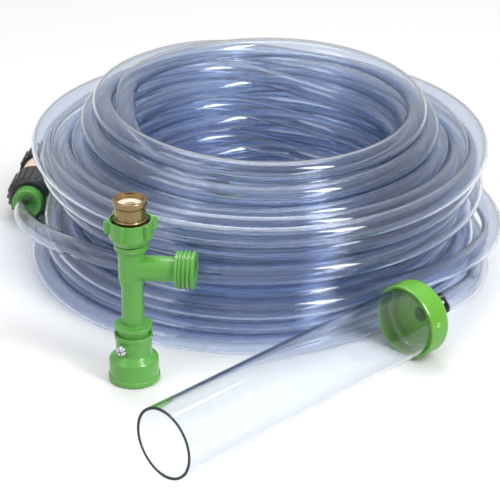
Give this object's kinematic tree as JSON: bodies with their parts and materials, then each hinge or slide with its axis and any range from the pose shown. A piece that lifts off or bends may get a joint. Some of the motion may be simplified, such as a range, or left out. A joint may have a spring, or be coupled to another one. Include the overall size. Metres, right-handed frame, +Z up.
{
  "type": "gravel vacuum siphon",
  "caption": "Aquarium gravel vacuum siphon: a tap-driven pump with drain valve, a wide clear gravel tube and a coiled clear hose.",
  "frame": {"origin": "centre of the pump's open bottom rim, on the floor the set stands on", "axes": "+Z up along the pump's axis, +X to the right along the side arm (turned 7 degrees), +Y away from the viewer towards the hose coil"},
  "size_m": [0.3819, 0.5669, 0.1377],
  "materials": {
    "pump_green": "glossy moulded bright green plastic",
    "cap_green": "glossy moulded yellow-green plastic",
    "dark_plastic": "dark green moulded plastic",
    "seal_rubber": "black rubber",
    "pale_washer": "cream washer",
    "brass": "bright turned brass",
    "chrome": "polished",
    "steel_screen": "punched stainless sheet",
    "clear_acrylic": "clear acrylic tube with polished wall",
    "clear_hose": "clear soft PVC with a faint blue tint",
    "black_grip": "black satin ribbed plastic",
    "cream_body": "cream plastic with a soft gloss"
  },
  "bodies": {
    "hose_set": {"hose_coil_lower": "clear_hose", "hose_coil_upper": "clear_hose", "hose_lead_cap": "clear_hose", "hose_lead_coupling_in": "clear_hose", "hose_lead_coupling_out": "clear_hose", "hose_lead_end": "clear_hose", "tube_cap": "cap_green", "coupling_front_sleeve": "pump_green", "coupling_front_washer": "seal_rubber", "coupling_body": "cream_body", "coupling_rear_sleeve": "pump_green", "coupling_rear_washer": "seal_rubber", "end_sleeve": "pump_green", "end_washer": "seal_rubber"},
    "gravel_tube": {"gravel_tube": "clear_acrylic"},
    "coupling_front_nut": {"coupling_front_nut": "black_grip"},
    "coupling_rear_nut": {"coupling_rear_nut": "black_grip"},
    "end_nut": {"end_nut": "black_grip"},
    "pump": {"pump_body": "pump_green", "neck_ring_lower": "seal_rubber", "neck_ring_upper": "seal_rubber", "jet_nozzle": "dark_plastic", "inlet_screen": "steel_screen", "inlet_washer": "seal_rubber"},
    "inlet_nut": {"inlet_nut": "pump_green"},
    "faucet_adapter": {"faucet_adapter": "brass", "adapter_washer": "pale_washer"},
    "drain_plug": {"drain_plug": "dark_plastic", "plug_seal": "seal_rubber"},
    "drain_bell": {"drain_bell": "pump_green", "bell_screw": "chrome"}
  },
  "joints": [
    {"name": "pump_lift", "type": "slide", "parent": "hose_set", "child": "pump", "axis": [0, 0, 1], "range_m": [0, 0.2]},
    {"name": "inlet_nut_spin", "type": "hinge", "parent": "pump", "child": "inlet_nut", "pos_m": [0, 0, 0.114], "axis": [0, 0, 1], "continuous": true},
    {"name": "adapter_unscrew", "type": "slide", "parent": "inlet_nut", "child": "faucet_adapter", "axis": [0, 0, 1], "range_m": [0, 0.025]},
    {"name": "valve_rise", "type": "slide", "parent": "pump", "child": "drain_plug", "axis": [0, 0, 1], "range_m": [0, 0.004]},
    {"name": "bell_turn", "type": "hinge", "parent": "drain_plug", "child": "drain_bell", "pos_m": [0, 0, 0.02], "axis": [0, 0, 1], "range_deg": [0, 120]},
    {"name": "tube_pull", "type": "slide", "parent": "hose_set", "child": "gravel_tube", "axis": [-0.7174, -0.6966, -0.0087], "range_m": [0, 0.03]},
    {"name": "coupling_front_nut_spin", "type": "hinge", "parent": "hose_set", "child": "coupling_front_nut", "pos_m": [-0.0975, 0.255, 0.0185], "axis": [-0.0976, -0.9952, 0], "continuous": true},
    {"name": "coupling_rear_nut_spin", "type": "hinge", "parent": "hose_set", "child": "coupling_rear_nut", "pos_m": [-0.0975, 0.255, 0.0185], "axis": [-0.0976, -0.9952, 0], "continuous": true},
    {"name": "end_nut_spin", "type": "hinge", "parent": "hose_set", "child": "end_nut", "pos_m": [0.0644, 0.2521, 0.0185], "axis": [-0.9994, -0.0349, 0], "continuous": true}
  ],
  "couplings": [
    {"joint": "valve_rise", "follows": "bell_turn", "m_per_rad": 0.0019099}
  ]
}
